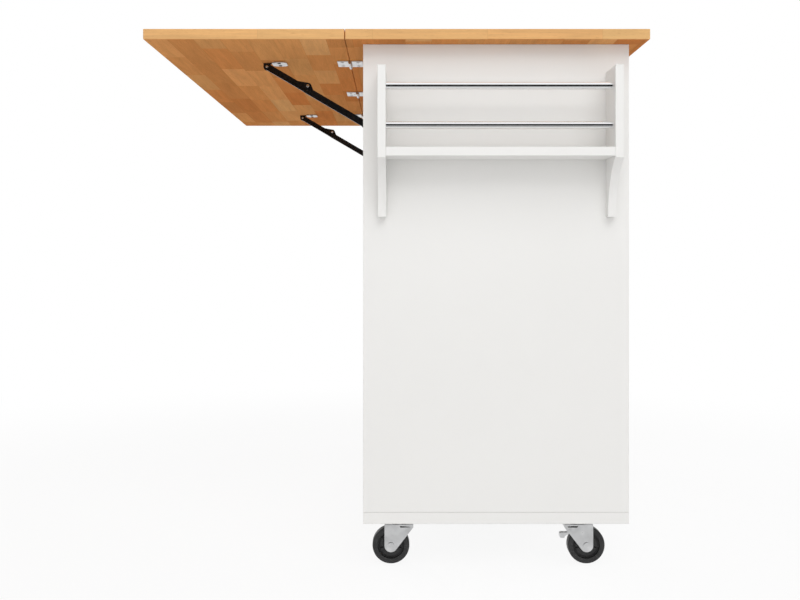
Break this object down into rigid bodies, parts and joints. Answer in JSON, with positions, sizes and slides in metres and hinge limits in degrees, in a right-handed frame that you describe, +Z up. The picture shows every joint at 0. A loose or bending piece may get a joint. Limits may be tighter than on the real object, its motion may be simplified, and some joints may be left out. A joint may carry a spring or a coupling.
{
  "type": "drop leaf kitchen island",
  "caption": "Kitchen island on casters, with a drop leaf on folding stays, a rack with rods and a shelf on one end, and a cabinet with doors and drawers.",
  "frame": {"origin": "on the floor, under the middle of the whole object's box", "axes": "+X to the front of the cabinet, away from the drop leaf; +Y along the worktop, away from the rack; +Z up"},
  "size_m": [0.86, 1.3404, 0.935],
  "materials": {
    "white_paint": "satin paint on wood board",
    "butcher_block": "oiled, in glued staves",
    "black_steel": "gloss black",
    "zinc_steel": "bright zinc plate",
    "chrome_steel": "polished",
    "knob_steel": "satin nickel",
    "wheel_rubber": "matt dark grey",
    "drawer_ply": "clear lacquer on birch ply",
    "catch_plastic": "matt black"
  },
  "bodies": {
    "cabinet": {"end_panel_near": "white_paint", "end_panel_far": "white_paint", "bottom_board": "white_paint", "partition_near": "white_paint", "partition_far": "white_paint", "back_panel": "white_paint", "top_rails": "white_paint", "shelf_near": "white_paint", "shelf_far": "white_paint", "shelf_pins": "zinc_steel", "main_top": "butcher_block", "hinge_plates_fixed": "zinc_steel", "hinge_pins": "zinc_steel", "top_screws": "zinc_steel", "stay_cabinet_brackets": "black_steel", "stay_cabinet_rivets": "zinc_steel", "stay_screws": "zinc_steel", "rack_bracket_rear": "white_paint", "rack_bracket_front": "white_paint", "rack_shelf": "white_paint", "rack_rods": "chrome_steel", "rack_screws": "zinc_steel", "caster_plates": "zinc_steel", "caster_screws": "zinc_steel", "door_pivots": "zinc_steel", "door_catches": "catch_plastic", "drawer_runners": "drawer_ply"},
    "leaf": {"drop_leaf": "butcher_block", "hinge_plates_leaf": "zinc_steel", "leaf_screws": "zinc_steel", "stay_leaf_brackets": "black_steel", "stay_leaf_rivets": "zinc_steel"},
    "stay_upper_near": {"stay_upper_arm_near": "black_steel"},
    "stay_upper_far": {"stay_upper_arm_far": "black_steel"},
    "stay_lower_near": {"stay_lower_arm_near": "black_steel"},
    "stay_lower_far": {"stay_lower_arm_far": "black_steel"},
    "door_near": {"door_near": "white_paint", "door_knob_near": "knob_steel"},
    "door_far": {"door_far": "white_paint", "door_knob_far": "knob_steel"},
    "drawer_top": {"drawer_front_top": "white_paint", "drawer_box_top": "drawer_ply", "drawer_knob_top": "knob_steel"},
    "drawer_middle": {"drawer_front_middle": "white_paint", "drawer_box_middle": "drawer_ply", "drawer_knob_middle": "knob_steel"},
    "drawer_bottom": {"drawer_front_bottom": "white_paint", "drawer_box_bottom": "drawer_ply", "drawer_knob_bottom": "knob_steel"},
    "fork_rear_near": {"caster_fork_rear_near": "zinc_steel"},
    "wheel_rear_near": {"caster_wheel_rear_near": "wheel_rubber"},
    "fork_rear_far": {"caster_fork_rear_far": "zinc_steel"},
    "wheel_rear_far": {"caster_wheel_rear_far": "wheel_rubber"},
    "fork_front_near": {"caster_fork_front_near": "zinc_steel"},
    "wheel_front_near": {"caster_wheel_front_near": "wheel_rubber"},
    "fork_front_far": {"caster_fork_front_far": "zinc_steel"},
    "wheel_front_far": {"caster_wheel_front_far": "wheel_rubber"},
    "pedal_near": {"brake_pedal_near": "zinc_steel"},
    "pedal_far": {"brake_pedal_far": "zinc_steel"}
  },
  "joints": [
    {"name": "leaf_fold", "type": "hinge", "parent": "cabinet", "child": "leaf", "pos_m": [-0.088, 0.02025, 0.9136], "axis": [0, -1, 0], "range_deg": [0, 90]},
    {"name": "stay_upper_near_pivot", "type": "hinge", "parent": "leaf", "child": "stay_upper_near", "pos_m": [-0.247, -0.39175, 0.91], "axis": [0, -1, 0], "range_deg": [-145, 0]},
    {"name": "stay_lower_near_pivot", "type": "hinge", "parent": "cabinet", "child": "stay_lower_near", "pos_m": [-0.059, -0.39175, 0.8], "axis": [0, -1, 0], "range_deg": [0, 118.6]},
    {"name": "stay_upper_far_pivot", "type": "hinge", "parent": "leaf", "child": "stay_upper_far", "pos_m": [-0.247, 0.42425, 0.91], "axis": [0, -1, 0], "range_deg": [-145, 0]},
    {"name": "stay_lower_far_pivot", "type": "hinge", "parent": "cabinet", "child": "stay_lower_far", "pos_m": [-0.059, 0.42425, 0.8], "axis": [0, -1, 0], "range_deg": [0, 118.6]},
    {"name": "door_near_swing", "type": "hinge", "parent": "cabinet", "child": "door_near", "pos_m": [0.398, -0.56125, 0.502], "axis": [0, 0, -1], "range_deg": [0, 110]},
    {"name": "door_far_swing", "type": "hinge", "parent": "cabinet", "child": "door_far", "pos_m": [0.398, 0.60175, 0.502], "axis": [0, 0, 1], "range_deg": [0, 110]},
    {"name": "drawer_top_slide", "type": "slide", "parent": "cabinet", "child": "drawer_top", "axis": [1, 0, 0], "range_m": [0, 0.3]},
    {"name": "drawer_middle_slide", "type": "slide", "parent": "cabinet", "child": "drawer_middle", "axis": [1, 0, 0], "range_m": [0, 0.3]},
    {"name": "drawer_bottom_slide", "type": "slide", "parent": "cabinet", "child": "drawer_bottom", "axis": [1, 0, 0], "range_m": [0, 0.3]},
    {"name": "swivel_rear_near", "type": "hinge", "parent": "cabinet", "child": "fork_rear_near", "pos_m": [0.005, -0.51825, 0.07], "axis": [0, 0, 1], "continuous": true},
    {"name": "roll_rear_near", "type": "hinge", "parent": "fork_rear_near", "child": "wheel_rear_near", "pos_m": [-0.01, -0.51825, 0.033], "axis": [0, 1, 0], "continuous": true},
    {"name": "swivel_rear_far", "type": "hinge", "parent": "cabinet", "child": "fork_rear_far", "pos_m": [0.005, 0.55875, 0.07], "axis": [0, 0, 1], "continuous": true},
    {"name": "roll_rear_far", "type": "hinge", "parent": "fork_rear_far", "child": "wheel_rear_far", "pos_m": [-0.01, 0.55875, 0.033], "axis": [0, 1, 0], "continuous": true},
    {"name": "swivel_front_near", "type": "hinge", "parent": "cabinet", "child": "fork_front_near", "pos_m": [0.324, -0.51825, 0.07], "axis": [0, 0, 1], "continuous": true},
    {"name": "roll_front_near", "type": "hinge", "parent": "fork_front_near", "child": "wheel_front_near", "pos_m": [0.339, -0.51825, 0.033], "axis": [0, 1, 0], "continuous": true},
    {"name": "swivel_front_far", "type": "hinge", "parent": "cabinet", "child": "fork_front_far", "pos_m": [0.324, 0.55875, 0.07], "axis": [0, 0, 1], "continuous": true},
    {"name": "roll_front_far", "type": "hinge", "parent": "fork_front_far", "child": "wheel_front_far", "pos_m": [0.339, 0.55875, 0.033], "axis": [0, 1, 0], "continuous": true},
    {"name": "brake_near", "type": "hinge", "parent": "fork_front_near", "child": "pedal_near", "pos_m": [0.3095, -0.51825, 0.061], "axis": [0, -1, 0], "range_deg": [0, 18]},
    {"name": "brake_far", "type": "hinge", "parent": "fork_front_far", "child": "pedal_far", "pos_m": [0.3095, 0.55875, 0.061], "axis": [0, -1, 0], "range_deg": [0, 18]}
  ],
  "couplings": [
    {"joint": "stay_upper_near_pivot", "follows": "leaf_fold", "ratio": -1.6101},
    {"joint": "stay_lower_near_pivot", "follows": "leaf_fold", "ratio": 1.3164},
    {"joint": "stay_upper_far_pivot", "follows": "leaf_fold", "ratio": -1.6101},
    {"joint": "stay_lower_far_pivot", "follows": "leaf_fold", "ratio": 1.3164}
  ]
}
